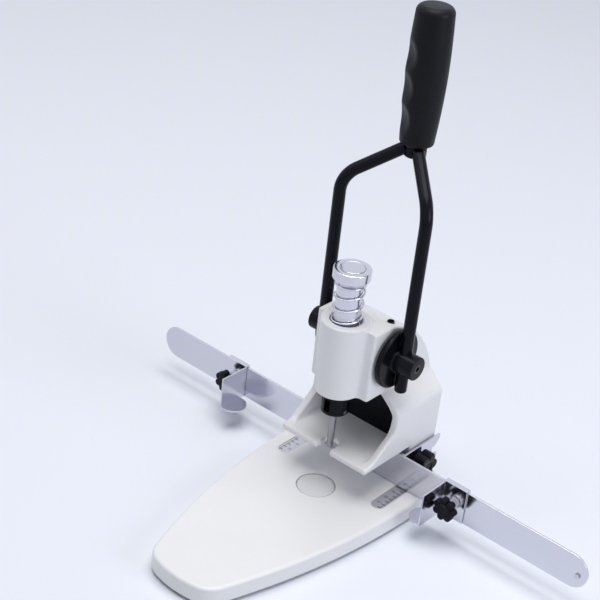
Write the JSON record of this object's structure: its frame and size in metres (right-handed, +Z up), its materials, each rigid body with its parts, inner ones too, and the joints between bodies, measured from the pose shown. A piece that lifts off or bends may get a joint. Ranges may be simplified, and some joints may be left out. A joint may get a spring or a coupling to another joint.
{
  "type": "single hole punch",
  "caption": "Bench-top single hole punch: cast base and head, geared lever, sprung plunger with hollow punch, and a sliding margin bar with side stops.",
  "frame": {"origin": "on the table under the punch's axis", "axes": "+Z up along the punch, +X to the operator's right along the margin bar, +Y to the rear, away from the operator"},
  "size_m": [0.4514, 0.267, 0.4114],
  "materials": {
    "cast_white": "semi-gloss warm white paint on a casting",
    "disc_white": "white plastic, lightly scored by the punch",
    "black_paint": "glossy black paint",
    "black_moulding": "moulded black plastic",
    "grip_black": "soft black plastic with a fine grain",
    "chrome_plate": "bright chrome plate",
    "tool_steel": "ground tool steel",
    "screw_steel": "zinc-plated steel",
    "black_screw": "blackened steel",
    "scale_metal": "satin aluminium with printed marks",
    "bush_bronze": "plain bronze",
    "foot_rubber": "matte black rubber"
  },
  "bodies": {
    "machine": {"base_plate": "cast_white", "bottom_cover": "black_paint", "rubber_feet": "foot_rubber", "cover_screws": "screw_steel", "scale_plate_left": "scale_metal", "scale_plate_right": "scale_metal", "disc_spindle": "tool_steel", "head_casting": "cast_white", "head_bolts": "screw_steel", "chamber_panel": "black_paint", "rear_cover": "cast_white", "rear_cover_screws": "black_screw", "shaft_bush_left": "bush_bronze", "shaft_bush_right": "bush_bronze", "bush_lock_screws": "black_screw", "lower_bush": "bush_bronze", "spring_seat": "tool_steel", "return_spring": "chrome_plate"},
    "disc": {"cutting_disc": "disc_white"},
    "plunger": {"plunger": "chrome_plate", "plunger_cap": "chrome_plate", "cap_disc": "chrome_plate", "punch_holder": "black_paint", "holder_screw": "screw_steel", "punch_bit": "tool_steel"},
    "lever": {"pinion_shaft": "tool_steel", "pinion_gear": "tool_steel", "pinion_key": "tool_steel", "lever_hub_left": "black_paint", "lever_hub_right": "black_paint", "hub_screws": "black_screw", "lever_rod_left": "black_paint", "lever_rod_right": "black_paint", "yoke_collar": "black_paint", "grip_bolt": "screw_steel", "lever_grip": "grip_black"},
    "margin_bar": {"margin_bar": "chrome_plate", "bar_arm_left": "chrome_plate", "bar_arm_right": "chrome_plate", "bar_end_pin": "screw_steel"},
    "clamp_left": {"clamp_knob_left": "black_moulding", "clamp_screw_left": "screw_steel"},
    "clamp_right": {"clamp_knob_right": "black_moulding", "clamp_screw_right": "screw_steel"},
    "stop_left": {"side_stop_left": "chrome_plate", "stop_nut_left": "screw_steel"},
    "stop_right": {"side_stop_right": "chrome_plate", "stop_nut_right": "screw_steel"},
    "stop_left_knob": {"stop_knob_left": "black_moulding", "stop_screw_left": "screw_steel"},
    "stop_right_knob": {"stop_knob_right": "black_moulding", "stop_screw_right": "screw_steel"}
  },
  "joints": [
    {"name": "lever_swing", "type": "hinge", "parent": "machine", "child": "lever", "pos_m": [0, 0.027, 0.1405], "axis": [1, 0, 0], "range_deg": [0, 81.4]},
    {"name": "plunger_slide", "type": "slide", "parent": "machine", "child": "plunger", "axis": [0, 0, -1], "range_m": [0, 0.032], "stiffness_N_per_m": 1500, "springref_m": -0.0167, "deforming": ["return_spring"]},
    {"name": "disc_turn", "type": "hinge", "parent": "machine", "child": "disc", "pos_m": [0, -0.012, 0.0165], "axis": [0, 0, 1], "continuous": true},
    {"name": "bar_slide", "type": "slide", "parent": "machine", "child": "margin_bar", "axis": [0, 1, 0], "range_m": [-0.027, 0.0049]},
    {"name": "clamp_left_turn", "type": "hinge", "parent": "machine", "child": "clamp_left", "pos_m": [-0.055, 0.058, 0.034], "axis": [1, 0, 0], "continuous": true},
    {"name": "clamp_right_turn", "type": "hinge", "parent": "machine", "child": "clamp_right", "pos_m": [0.055, 0.058, 0.034], "axis": [1, 0, 0], "continuous": true},
    {"name": "stop_left_slide", "type": "slide", "parent": "margin_bar", "child": "stop_left", "axis": [1, 0, 0], "range_m": [-0.066, 0.06]},
    {"name": "stop_right_slide", "type": "slide", "parent": "margin_bar", "child": "stop_right", "axis": [1, 0, 0], "range_m": [-0.024, 0.102]},
    {"name": "stop_left_knob_turn", "type": "hinge", "parent": "stop_left", "child": "stop_left_knob", "pos_m": [-0.1379, 0.03, 0.034], "axis": [0, 1, 0], "continuous": true},
    {"name": "stop_right_knob_turn", "type": "hinge", "parent": "stop_right", "child": "stop_right_knob", "pos_m": [0.1019, 0.03, 0.034], "axis": [0, 1, 0], "continuous": true}
  ],
  "couplings": [
    {"joint": "plunger_slide", "follows": "lever_swing", "m_per_rad": 0.0225}
  ]
}
